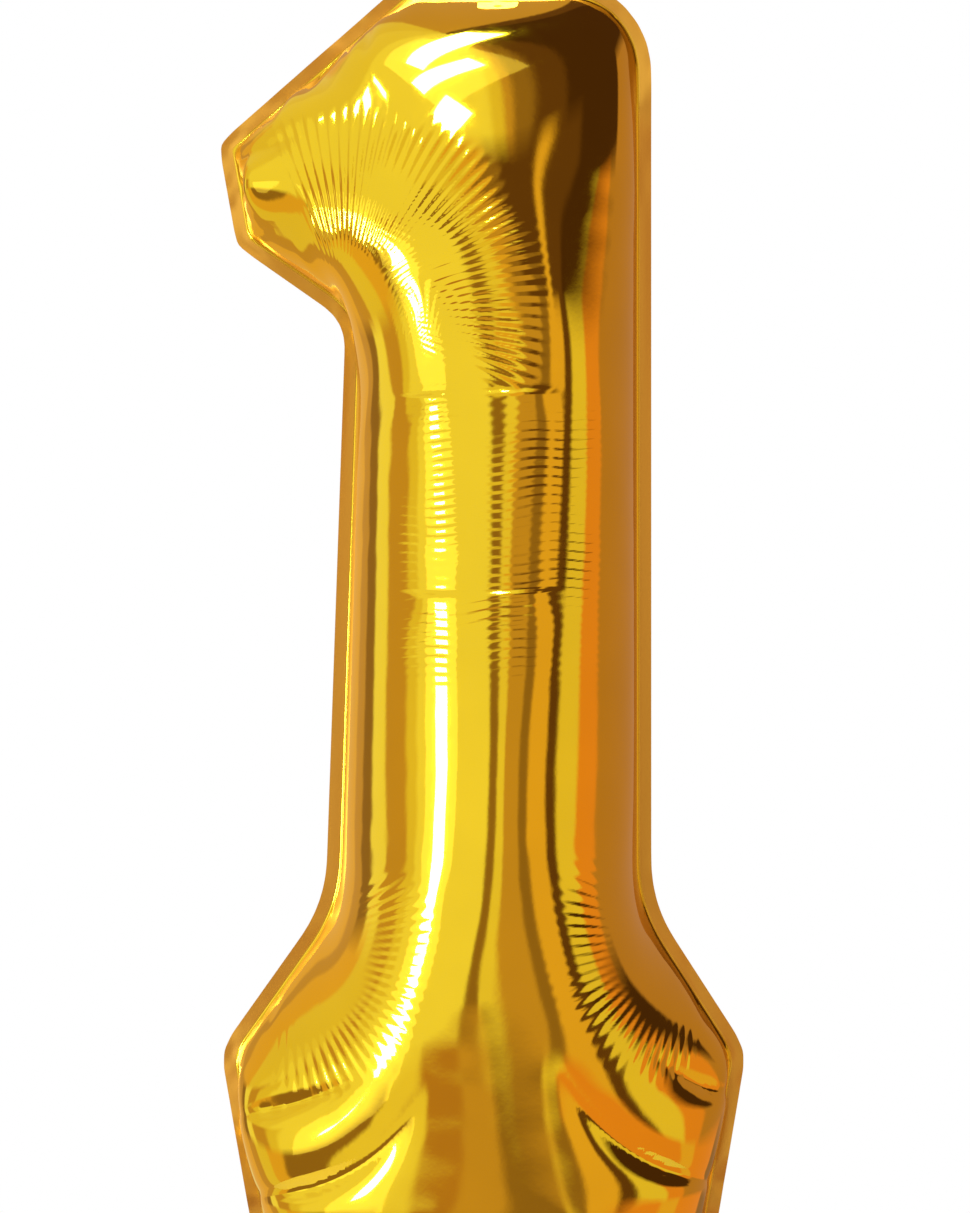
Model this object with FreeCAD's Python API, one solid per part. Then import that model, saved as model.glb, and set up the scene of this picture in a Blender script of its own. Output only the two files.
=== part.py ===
import FreeCAD, Part
import math
import os

# Foil number balloon "1", blown up. Millimetres, +Z up, front towards -Y.
#
# The real object is two flat sheets of metallised film, cut to the figure 1 and heat-sealed face
# to face all round, with a flat two-ply valve sealed into the bottom seam. Blown up, each sheet
# becomes a dome that stands on the seam line, and the sealed border stays flat as a band.
# The origin is the centre of the hanging hole: that is where the balloon is held up.

Vector = FreeCAD.Vector

# Height and width along the seam line, where the two sheets part
SEAM_HEIGHT = 842.0           # bottom seam to top seam
STEM_WIDTH = 176.0            # seam to seam at the top of the stem
STEM_SPREAD = 13.0            # how much further out the stem's left seam stands at its lower end
# Foot: how far it reaches out past the stem on each side, and its heights above the bottom seam
FOOT_REACH_LEFT = 79.0
FOOT_REACH_RIGHT = 60.0
FOOT_REACH_LOW_LEFT = 49.0    # at the bottom corners, which the pressure draws in
FOOT_REACH_LOW_RIGHT = 31.0
FOOT_HEIGHT = 170.0           # the upper corners of the foot
SHOULDER_HEIGHT = 263.0       # where the shoulders meet the stem
# Head and flag: drops are measured down from the top seam
FLAG_REACH_LOW = 70.0         # lower corner of the flag's tip, out from the stem
FLAG_REACH_HIGH = 80.0        # upper corner of the flag's tip
FLAG_DROP_HIGH = 98.0
FLAG_DROP_LOW = 154.0
ELBOW_DROP = 203.0            # where the flag's underside meets the stem
TOP_WIDTH = 144.0             # straight top, from its left peak to the stem's right seam line
# Corner radii of the seam line
FOOT_CORNER_RADIUS = 18.0
SHOULDER_RADIUS = 99.0
ELBOW_RADIUS = 39.0
HEAD_CORNER_RADIUS = 48.0
PEAK_RADIUS = 8.0
# The domes
FOOT_RISE = 130.0             # from the bottom seam to where the foot is as deep as the stem
TIP_RISE = 120.0              # the same for the flag, from its tip
HEAD_SWELL = 1.06             # the head stands this much prouder than the stem
FOOT_FULLNESS = 0.8           # under 1 makes the foot's cross-sections boxier than an ellipse
# Films and seam
FILM = 0.3                    # sheet as drawn; the real one is 0.05
VALVE_FILM = 0.15             # each valve ply as drawn; the real one is 0.04
SEAM_BAND = 9.0               # flat sealed border outside the seam line
# Folds: the hanging tab and the inflation tail each bend on a crease across the film
FOLD_CLEARANCE = 0.4          # between the edge of the film and a flap's rounded edge
# Neck and tail of the bottom seam, which the valve's outer end is sealed into
NECK_SEAL = 3.0               # sheets sealed to each other on each side of the valve
NECK_LENGTH = 20.0            # below the seam band, down to the tail's fold
TAIL_LENGTH = 46.0            # from the fold to its free end
TAIL_END_RADIUS = 6.0
# Valve: a flat tube that hangs up into the balloon
VALVE_WIDTH = 24.0
VALVE_INNER_LENGTH = 150.0    # above the bottom seam line
# Hanging tab on the top band, with a punched hole
TAB_WIDTH = 26.0
TAB_LENGTH = 20.0             # from its fold to its top edge
TAB_END_RADIUS = 9.0
HOLE_RADIUS = 2.5
HOLE_TO_EDGE = 9.0            # hole centre to the tab's top edge

# Grid of each dome
COLUMNS = 14
SEWING_GAP = 0.0001
POCKET_END = 1.0              # how far the valve's pocket runs past the seam line into the balloon
STATIONS_FOOT, STATIONS_SHOULDER, STATIONS_STEM, STATIONS_HEAD, STATIONS_FLAG = 9, 6, 12, 16, 8

HALF_STEM = STEM_WIDTH / 2
NECK_WIDTH = VALVE_WIDTH + 2 * NECK_SEAL
NECK_END_Z = -SEAM_BAND - NECK_LENGTH
TAIL_AXIS_Z = NECK_END_Z - FOLD_CLEARANCE - FILM
TAB_AXIS_Z = SEAM_HEIGHT + SEAM_BAND + FOLD_CLEARANCE + FILM
ORIGIN_Z = TAB_AXIS_Z + TAB_LENGTH - HOLE_TO_EDGE


def flat(x, z):
    """A point of the flat pattern, in the plane between the two sheets."""
    return Vector(x, 0, z)


LEFT_CORNERS = [
    (flat(-HALF_STEM - FOOT_REACH_LOW_LEFT, 0), 0),
    (flat(-HALF_STEM - FOOT_REACH_LEFT, FOOT_HEIGHT), FOOT_CORNER_RADIUS),
    (flat(-HALF_STEM - STEM_SPREAD, SHOULDER_HEIGHT), SHOULDER_RADIUS),
    (flat(-HALF_STEM, SEAM_HEIGHT - ELBOW_DROP), ELBOW_RADIUS),
    (flat(-HALF_STEM - FLAG_REACH_LOW, SEAM_HEIGHT - FLAG_DROP_LOW), 0),
]
RIGHT_CORNERS = [
    (flat(HALF_STEM + FOOT_REACH_LOW_RIGHT, 0), 0),
    (flat(HALF_STEM + FOOT_REACH_RIGHT, FOOT_HEIGHT), FOOT_CORNER_RADIUS),
    (flat(HALF_STEM, SHOULDER_HEIGHT), SHOULDER_RADIUS),
    (flat(HALF_STEM, SEAM_HEIGHT), HEAD_CORNER_RADIUS),
    (flat(HALF_STEM - TOP_WIDTH, SEAM_HEIGHT), PEAK_RADIUS),
    (flat(-HALF_STEM - FLAG_REACH_HIGH, SEAM_HEIGHT - FLAG_DROP_HIGH), 0),
]


class Chain:
    """A row of straight runs and the tangent arcs that round its corners, measured along its length."""

    def __init__(self, corners):
        self.edges = []
        self.arc_ends = []
        self.length = 0.0
        start = corners[0][0]
        for (before, _), (corner, radius), (after, _) in zip(corners, corners[1:], corners[2:]):
            back = (before - corner).normalize()
            ahead = (after - corner).normalize()
            half_angle = back.getAngle(ahead) / 2
            reach = radius / math.tan(half_angle)
            arc_start, arc_end = corner + back * reach, corner + ahead * reach
            self.add(Part.LineSegment(start, arc_start))
            length_before = self.length
            if radius:
                middle = corner + (back + ahead).normalize() * (radius / math.sin(half_angle) - radius)
                self.add(Part.Arc(arc_start, middle, arc_end))
            self.arc_ends.append((length_before, self.length))
            start = arc_end
        self.add(Part.LineSegment(start, corners[-1][0]))

    def add(self, curve):
        self.edges.append(curve.toShape())
        self.length += self.edges[-1].Length

    def arc_middle(self, index):
        return sum(self.arc_ends[index]) / 2

    def at(self, distance):
        """The point that far along the chain."""
        for edge in self.edges:
            if distance <= edge.Length:
                return edge.valueAt(edge.getParameterByLength(distance))
            distance -= edge.Length
        return self.edges[-1].lastVertex().Point


def station_ends():
    """Pairs of points on the left and right seams that each cross-section runs between."""
    left, right = Chain(LEFT_CORNERS), Chain(RIGHT_CORNERS)
    stem_run = left.arc_ends[2][0] - left.arc_ends[1][1]
    marks = [
        (0.0, 0.0),
        (left.arc_middle(0), right.arc_middle(0)),
        (left.arc_ends[1][1], right.arc_ends[1][1]),
        (left.arc_ends[2][0], right.arc_ends[1][1] + stem_run),
        (left.arc_ends[2][1], right.arc_middle(3)),
        (left.length, right.length),
    ]
    counts = (STATIONS_FOOT, STATIONS_SHOULDER, STATIONS_STEM, STATIONS_HEAD, STATIONS_FLAG)
    pairs = []
    for (left_a, right_a), (left_b, right_b), count in zip(marks, marks[1:], counts):
        for step in range(count):
            share = step / count
            pairs.append((left.at(left_a + (left_b - left_a) * share),
                          right.at(right_a + (right_b - right_a) * share)))
    pairs.append((left.at(left.length), right.at(right.length)))
    return pairs


def ease(share):
    """0 at the end seam, 1 once the dome has its full depth."""
    return math.sin(math.pi / 2 * min(1.0, share))


def dome(inset, base):
    """The space under the front sheet, down to a flat back. inset draws its edge in from the seam
    line, and base is how far in front of the middle plane its flat back lies."""
    pairs = station_ends()
    middles = [(left + right) * 0.5 for left, right in pairs]
    head_start = STATIONS_FOOT + STATIONS_SHOULDER + STATIONS_STEM
    rows = []
    for index, (left, right) in enumerate(pairs):
        across = (right - left).normalize()
        left, right = left + across * inset, right - across * inset
        shift = flat(0, 0)
        if index == 0:
            shift = (middles[1] - middles[0]).normalize() * inset
        elif index == len(pairs) - 1:
            shift = (middles[-2] - middles[-1]).normalize() * inset
        from_bottom = (middles[index] - middles[0]).Length
        from_tip = (middles[index] - middles[-1]).Length
        head_share = max(0.0, (index - head_start) / (STATIONS_HEAD / 2))
        swell = 1 + (HEAD_SWELL - 1) * ease(head_share)
        depth = HALF_STEM * swell * ease(from_bottom / FOOT_RISE) * ease(from_tip / TIP_RISE)
        boxy = FOOT_FULLNESS + (1 - FOOT_FULLNESS) * min(1.0, middles[index].z / SHOULDER_HEIGHT)
        row = []
        for column in range(COLUMNS + 1):
            turn = math.pi * column / COLUMNS
            along = (1 - math.cos(turn)) / 2
            proud = depth * max(0.0, math.sin(turn)) ** boxy
            row.append(left + (right - left) * along + shift - Vector(0, base + proud, 0))
        rows.append(row)
    surface = Part.BSplineSurface()
    surface.interpolate(rows)
    skin = surface.toShape()
    back = Part.Face(Part.Wire(Part.__sortEdges__(skin.Edges)))
    closed = Part.makeCompound([skin, back])
    closed.sewShape(SEWING_GAP)
    return Part.makeSolid(closed.Shells[0])


def slab(outline, inner, thickness):
    """A flat piece of film in front of the middle plane, from inner to inner + thickness."""
    face = outline.copy()
    face.translate(Vector(0, -inner, 0))
    return face.extrude(Vector(0, -thickness, 0))


def strip(width, start, end, end_radius=0):
    """Outline of an upright strip on the stem's centreline, with its corners round at the end."""
    corners = [(flat(0, start), 0), (flat(width / 2, start), 0), (flat(width / 2, end), end_radius),
               (flat(-width / 2, end), end_radius), (flat(-width / 2, start), 0), (flat(0, start), 0)]
    return Part.Face(Part.Wire(Chain(corners).edges))


def border():
    """The flat sealed border of a sheet, with its half of the neck, still closed across the middle."""
    left, right = Chain(LEFT_CORNERS), Chain(RIGHT_CORNERS)
    bottom = Part.LineSegment(left.at(0), right.at(0)).toShape()
    tip = Part.LineSegment(left.at(left.length), right.at(right.length)).toShape()
    seam = Part.Wire(Part.__sortEdges__(left.edges + right.edges + [bottom, tip]))
    sheet = slab(Part.Face(seam.makeOffset2D(SEAM_BAND)), 0, FILM)
    # the neck steps out over the valve, which passes through the seam between the two sheets
    neck = slab(strip(NECK_WIDTH, -POCKET_END, NECK_END_Z), 0, VALVE_FILM + FILM)
    pocket = slab(strip(VALVE_WIDTH, POCKET_END, NECK_END_Z - POCKET_END), 0, VALVE_FILM)
    return sheet.fuse(neck).cut(pocket).removeSplitter()


def make_panel():
    """The front sheet of gold film: its dome on its sealed border."""
    return border().fuse(dome(0, FILM)).cut(dome(FILM, 0))


def make_valve_ply():
    """One ply of the flat valve. It is sealed to the neck below and hangs free inside the balloon."""
    return slab(strip(VALVE_WIDTH, NECK_END_Z, VALVE_INNER_LENGTH), 0, VALVE_FILM)


def make_flap_ply(width, axis_z, length, end_radius):
    """One ply of a flap that folds at axis_z. It runs up for a length above zero, or else down.
    Its edge at the fold is round about the fold's axis, so that it clears the film beside it."""
    ply = slab(strip(width, axis_z, axis_z + length, end_radius), 0, FILM)
    bead = Part.makeCylinder(FILM, width, Vector(-width / 2, 0, axis_z), Vector(1, 0, 0))
    beyond = slab(strip(width, axis_z, axis_z - math.copysign(2 * FILM, length)), 0, FILM)
    return ply.fuse(bead.common(beyond))


def make_tab_ply():
    """One ply of the hanging tab, with the punched hole."""
    ply = make_flap_ply(TAB_WIDTH, TAB_AXIS_Z, TAB_LENGTH, TAB_END_RADIUS)
    return ply.cut(Part.makeCylinder(HOLE_RADIUS, 2 * FILM, flat(0, ORIGIN_Z), Vector(0, -1, 0)))


def make_tail_ply():
    """One ply of the inflation tail."""
    return make_flap_ply(NECK_WIDTH, TAIL_AXIS_Z, -TAIL_LENGTH, TAIL_END_RADIUS)


def mirrored(shape):
    """The same piece on the back of the balloon."""
    return shape.mirror(Vector(0, 0, 0), Vector(0, 1, 0))


FRONT_PIECES = {
    "{}_panel": make_panel(),
    "valve_{}_ply": make_valve_ply(),
    "hanging_tab_{}_ply": make_tab_ply(),
    "tail_{}_ply": make_tail_ply(),
}
NODES = {}
for name, shape in FRONT_PIECES.items():
    NODES[name.format("front")] = shape
    NODES[name.format("back")] = mirrored(shape)

os.makedirs("parts", exist_ok=True)
for name, shape in NODES.items():
    shape.translate(Vector(0, 0, -ORIGIN_Z))
    shape.exportStep("parts/" + name + ".step")
    box = shape.BoundBox
    print(name, "solids", len(shape.Solids), "valid", shape.isValid(), "volume", round(shape.Volume, 1),
          "x", round(box.XMin, 1), round(box.XMax, 1), "y", round(box.YMin, 2), round(box.YMax, 2),
          "z", round(box.ZMin, 1), round(box.ZMax, 1))
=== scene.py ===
"""A gold foil number balloon, a one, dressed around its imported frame.

Two sheets of film are cut flat, sealed edge to edge and blown up by cloth simulation.
The cut is found by blowing up a coarse trial of it a few times, until its seam comes to
rest on the frame's. Meshes are in metres in the frame's own axes: X right, Y back and Z
up, from the hanging hole.
"""

import math

import bmesh
import bpy
import numpy as np
from bpy.props import FloatProperty, FloatVectorProperty, IntProperty, PointerProperty
from mathutils import Matrix, Vector


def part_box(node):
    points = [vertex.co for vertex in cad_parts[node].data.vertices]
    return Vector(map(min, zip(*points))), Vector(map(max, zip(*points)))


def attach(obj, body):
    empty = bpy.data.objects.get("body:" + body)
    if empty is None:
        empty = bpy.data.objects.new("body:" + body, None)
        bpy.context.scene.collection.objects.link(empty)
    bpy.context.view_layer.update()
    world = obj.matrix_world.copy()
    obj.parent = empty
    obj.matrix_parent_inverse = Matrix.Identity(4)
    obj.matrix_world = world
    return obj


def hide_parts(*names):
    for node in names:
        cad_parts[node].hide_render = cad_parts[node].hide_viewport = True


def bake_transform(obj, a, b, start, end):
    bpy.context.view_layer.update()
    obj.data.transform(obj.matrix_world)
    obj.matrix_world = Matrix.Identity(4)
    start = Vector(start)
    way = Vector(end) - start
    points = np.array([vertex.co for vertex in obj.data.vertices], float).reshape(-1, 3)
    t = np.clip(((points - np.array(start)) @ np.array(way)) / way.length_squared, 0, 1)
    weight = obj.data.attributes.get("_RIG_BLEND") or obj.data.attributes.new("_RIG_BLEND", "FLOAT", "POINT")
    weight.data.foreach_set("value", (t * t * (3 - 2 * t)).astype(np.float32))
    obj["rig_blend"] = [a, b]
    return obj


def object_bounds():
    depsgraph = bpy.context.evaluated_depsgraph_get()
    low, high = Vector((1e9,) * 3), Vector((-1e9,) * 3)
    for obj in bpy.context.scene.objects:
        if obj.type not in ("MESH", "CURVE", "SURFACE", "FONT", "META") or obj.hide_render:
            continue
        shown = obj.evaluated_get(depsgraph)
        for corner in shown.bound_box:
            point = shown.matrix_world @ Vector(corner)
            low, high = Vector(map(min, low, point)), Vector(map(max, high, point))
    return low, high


bl_info = {
    "name": "Foil number balloon",
    "version": (1, 0, 0),
    "blender": (4, 5, 0),
    "location": "3D View > Sidebar > Balloon",
    "description": "Blows up a gold foil number one around its packed frame",
    "category": "Add Mesh",
}

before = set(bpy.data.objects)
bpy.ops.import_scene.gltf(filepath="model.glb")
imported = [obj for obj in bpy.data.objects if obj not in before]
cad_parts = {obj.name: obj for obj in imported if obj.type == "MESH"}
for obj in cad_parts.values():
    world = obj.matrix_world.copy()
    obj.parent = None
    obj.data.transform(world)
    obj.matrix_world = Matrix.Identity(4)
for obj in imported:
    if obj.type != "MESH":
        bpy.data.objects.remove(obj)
CAD_BOX = [list(corner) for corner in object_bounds()]

MM = 0.001
# Width of the sealed band and length of the neck, in millimetres
SEAM_BAND = 9.0
NECK_LENGTH = 20.0
PANEL_LOW, PANEL_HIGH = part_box("front_panel")
TAB_LOW, TAB_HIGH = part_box("hanging_tab_front_ply")
TAIL_LOW, TAIL_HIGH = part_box("tail_front_ply")
# Height of the bottom seam line in the frame. The figure is laid out in millimetres
# above it.
SEAM_FOOT = PANEL_LOW.z + (NECK_LENGTH + SEAM_BAND) * MM

# The frame's seam line, clockwise from the foot's lower left corner, in millimetres: x,
# height, radius of the corner, and the radius that this corner is cut to in flat film
CORNERS = {
    "foot_low_left": (-137, 0, 0, 6),
    "foot_left": (-167, 170, 18, 25),
    "shoulder_left": (-101, 263, 99, 60),
    "elbow": (-88, 639, 39, 40),
    "tip_low": (-158, 688, 0, 20),
    "tip_high": (-168, 744, 0, 15),
    "peak": (-56, 842, 8, 20),
    "head": (88, 842, 48, 70),
    "shoulder_right": (88, 263, 99, 60),
    "foot_right": (148, 170, 18, 25),
    "foot_low_right": (119, 0, 0, 6),
}
# Sides that are cut with a bulge, because the gas draws the middle of a side in
BULGED_SIDES = {
    "foot_low_left": 200,
    "foot_left": 100,
    "tip_high": 300,
    "peak": 200,
    "shoulder_right": 100,
    "foot_right": 200,
    "foot_low_right": 200,
}
# How far outside the seam line the first trial is cut, in millimetres, and the share of
# that at the foot's lower corners
CUT_ALLOWANCE = 50.0
FOOT_SHARE = 0.25
# Shares of a corner's miss and of a side's that each trial corrects
CUT_GAIN, SIDE_GAIN = 0.7, 0.6
# The flat mesh: width of the stem in millimetres, the share of the right side that is
# beside the stem, how much taller the head is than its tip, passes that even out the
# cells, rings in the band, and half the gap that the plies start with, in millimetres
STEM_CUT_WIDTH = 285.0
STEM_SHARE = 0.65
HEAD_SHARE = 1.25
EVENING_PASSES = 1500
BAND_RINGS = 2
PLY_GAP = 1.0
# How hard the film resists being gathered while the gas fills it
FILLING_STIFFNESS = 0.5

# Settling on the frame's seam: the share of its waviness that the seam keeps, and in
# metres how wide it is flat where the neck and the tab join it, how softly a point
# follows the seam near it and how deep the seam's push out of its plane reaches
SEAM_WAVE = 0.15
JOIN_REACH = 0.045
FOLLOW_SOFTNESS = 0.008
PUSH_DEPTH = 0.018
# Smoothing of the whole film: passes, share, and the step in and out of each pass
EASING_PASSES = 30
EASING_SHARE = 0.3
EASING_STEPS = (0.55, -0.56)

# Where each sheet's sealed band is, and its half of the neck at the fold, in
# millimetres from the middle plane, and the rings of cells down the neck
SHEET_GAP = 0.15
NECK_GAP = 0.3
NECK_RINGS = 8
# Tab and tail, in millimetres: radius of the punched hole and of the outer corners, how
# far a crease strip runs onto the film at each side of its fold, where its bending
# starts, and its thickness
TAB_HOLE = 2.5
TAB_CORNER = 9.0
TAIL_CORNER = 6.0
CREASE_LAP = 0.8
BEND_LAP = 0.5
CREASE_THICKNESS = 0.44


# ---------------------------------------------------------------- settings


def linear(code):
    """Linear red, green and blue of an sRGB hex colour."""
    shares = [int(code[i : i + 2], 16) / 255 for i in (0, 2, 4)]
    return tuple(
        s / 12.92 if s <= 0.04045 else ((s + 0.055) / 1.055) ** 2.4 for s in shares
    )


def colour(name, description, code):
    return FloatVectorProperty(
        name=name,
        description=description,
        default=linear(code),
        subtype="COLOR",
        min=0,
        max=1,
    )


class FilmSettings(bpy.types.PropertyGroup):
    """The two sheets of gold film and how hard they are blown up."""

    cell: FloatProperty(
        name="Cell",
        description="Mesh size of the cut film, in millimetres",
        default=9.0,
        min=4.0,
    )
    trial_cell: FloatProperty(
        name="Trial cell",
        description="Mesh size of the coarse trials, in millimetres",
        default=12.0,
        min=8.0,
    )
    trials: IntProperty(
        name="Trials", description="Times the cut is blown up and corrected", default=5
    )
    pressure: FloatProperty(
        name="Pressure", description="Force of the gas on the film", default=5.0
    )
    rise_frames: IntProperty(
        name="Rise frames", description="Frames in which the balloon fills", default=40
    )
    crease_frames: IntProperty(
        name="Crease frames",
        description="Frames in which the film buckles",
        default=6,
    )
    crease_stiffness: FloatProperty(
        name="Crease stiffness",
        description="How hard the film resists being gathered while it buckles",
        default=80.0,
    )
    ripple: FloatProperty(
        name="Ripple", description="Share of the fine ripples' depth", default=1.0
    )
    gold: colour("Gold", "Colour of the tinted metal", "F2D212")
    gold_deep: colour("Deep gold", "Colour of the sealed band", "DDA63C")


class ValveSettings(bpy.types.PropertyGroup):
    """The clear valve."""

    film: colour("Valve film", "Colour of the clear film", "E9E6DA")


class StageSettings(bpy.types.PropertyGroup):
    """Camera, floor and light."""

    camera_distance: FloatProperty(
        name="Camera distance",
        description="From the seam plane to the camera",
        default=3.2,
        unit="LENGTH",
    )
    view_height: FloatProperty(
        name="View height",
        description="Height of the object that fills the picture",
        default=0.7703,
        unit="LENGTH",
    )
    floor: colour("Floor", "Colour of the floor", "F4F2EE")


# ---------------------------------------------------------------- helpers


def read(items, name, width=1, kind=np.float32):
    """One property of every item of a collection, as an array."""
    flat = np.empty(len(items) * width, kind)
    items.foreach_get(name, flat)
    return flat.reshape(-1, width) if width > 1 else flat


def points_of(mesh):
    return read(mesh.vertices, "co", 3).astype(float)


def move_points(mesh, points):
    mesh.vertices.foreach_set("co", np.asarray(points, np.float32).ravel())
    mesh.update()


def values_of(mesh, name):
    """The band or inside value of each point."""
    return read(mesh.attributes[name].data, "value").astype(float)


def places_of(mesh, name):
    """The cut or aim place of each point, in metres."""
    return read(mesh.attributes[name].data, "vector", 3).astype(float) * MM


def edges_of(mesh):
    return read(mesh.edges, "vertices", 2, np.int32).T


def new_object(name, mesh):
    obj = bpy.data.objects.new(name, mesh)
    bpy.context.scene.collection.objects.link(obj)
    return obj


def finished(bm, name):
    """The bmesh as a smooth-shaded object."""
    mesh = bpy.data.meshes.new(name)
    bm.to_mesh(mesh)
    bm.free()
    mesh.shade_smooth()
    return new_object(name, mesh)


def extruded(bm, edges):
    """Extrudes edges. Gives each new point with its old one, and the far edges."""
    old = {v for e in edges for v in e.verts}
    grown = bmesh.ops.extrude_edge_only(bm, edges=edges)["geom"]
    roots = {
        v: next(e.other_vert(v) for e in v.link_edges if e.other_vert(v) in old)
        for v in grown
        if isinstance(v, bmesh.types.BMVert)
    }
    far = [
        e
        for e in grown
        if isinstance(e, bmesh.types.BMEdge) and all(v in roots for v in e.verts)
    ]
    return roots, far


def face(bm, towards):
    """Turns an open sheet's faces to the front, -1, or to the back, 1."""
    bmesh.ops.recalc_face_normals(bm, faces=bm.faces)
    if sum(f.normal.y for f in bm.faces) * towards < 0:
        bmesh.ops.reverse_faces(bm, faces=bm.faces)


def eased(share):
    """0 to 1, with a gentle start and end."""
    share = np.clip(share, 0.0, 1.0)
    return share * share * (3 - 2 * share)


# ---------------------------------------------------------------- the cut


def rounded(corners, radii):
    """A closed line round the corners in tangent arcs, and each arc's middle on it."""
    arc_steps = 12
    line, middles = [], []
    count = len(corners)
    for i, radius in enumerate(radii):
        before, corner, after = corners[i - 1], corners[i], corners[(i + 1) % count]
        back = (before - corner) / np.linalg.norm(before - corner)
        ahead = (after - corner) / np.linalg.norm(after - corner)
        half = math.acos(float(np.clip(back @ ahead, -1, 1))) / 2
        if not radius or half > math.pi / 2 - 0.002:
            middles.append(len(line))
            line.append(corner)
            continue
        halfway = (back + ahead) / np.linalg.norm(back + ahead)
        centre = corner + halfway * radius / math.sin(half)
        start = corner + back * radius / math.tan(half) - centre
        end = corner + ahead * radius / math.tan(half) - centre
        turn = math.atan2(
            start[0] * end[1] - start[1] * end[0], float(np.dot(start, end))
        )
        for step in range(arc_steps + 1):
            if step == arc_steps // 2:
                middles.append(len(line))
            a = turn * step / arc_steps
            spun = (
                start[0] * math.cos(a) - start[1] * math.sin(a),
                start[0] * math.sin(a) + start[1] * math.cos(a),
            )
            line.append(centre + np.array(spun))
    return np.array(line), middles


def stretch(line, start, end):
    """The part of a closed line from one point on it to another."""
    if end <= start:
        end += len(line)
    return line[np.arange(start, end + 1) % len(line)]


def length_of(line):
    return float(np.linalg.norm(np.diff(line, axis=0), axis=1).sum())


def spaced(line, count):
    """count + 1 points evenly along a line."""
    along = np.r_[0, np.cumsum(np.linalg.norm(np.diff(line, axis=0), axis=1))]
    at = np.linspace(0, along[-1], count + 1)
    return np.c_[np.interp(at, along, line[:, 0]), np.interp(at, along, line[:, 1])]


class Cut:
    """The film's flat outline: corners that move between trials, and bulged sides."""

    def __init__(self):
        self.names, self.radii, seam_radii, seam = [], [], [], []
        names = list(CORNERS)
        for i, name in enumerate(names):
            x, z, seam_radius, cut_radius = CORNERS[name]
            self.names.append(name)
            seam.append(np.array((x, z), float))
            seam_radii.append(seam_radius)
            self.radii.append(cut_radius)
            if name in BULGED_SIDES:
                after = CORNERS[names[(i + 1) % len(names)]]
                self.names.append(name + "_side")
                seam.append((seam[-1] + np.array(after[:2], float)) / 2)
                seam_radii.append(0)
                self.radii.append(BULGED_SIDES[name])
        self.seam_line, self.seam_marks = rounded(seam, seam_radii)
        self.aims = [self.seam_line[m] for m in self.seam_marks]
        self.corners = [np.array(p) for p in seam]
        count = len(seam)
        for i, corner in enumerate(seam):
            along = seam[(i + 1) % count] - seam[i - 1]
            out = np.array((-along[1], along[0])) / np.linalg.norm(along)
            share = FOOT_SHARE if self.names[i].startswith("foot_low") else 1.0
            self.corners[i] = corner + out * CUT_ALLOWANCE * share

    def correct(self, landed):
        """Moves the corners by how far the seam came to rest from the frame's seam."""
        count = len(self.names)
        miss = [aim - point for aim, point in zip(self.aims, landed)]
        for i, name in enumerate(self.names):
            if not name.endswith("_side"):
                self.corners[i] = self.corners[i] + CUT_GAIN * miss[i]
        for i, name in enumerate(self.names):
            if name.endswith("_side"):
                before, after = self.corners[i - 1], self.corners[(i + 1) % count]
                along = (after - before) / np.linalg.norm(after - before)
                out = np.array((-along[1], along[0]))
                bulge = (self.corners[i] - before) @ out + SIDE_GAIN * (miss[i] @ out)
                self.corners[i] = (before + after) / 2 + out * bulge


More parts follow.
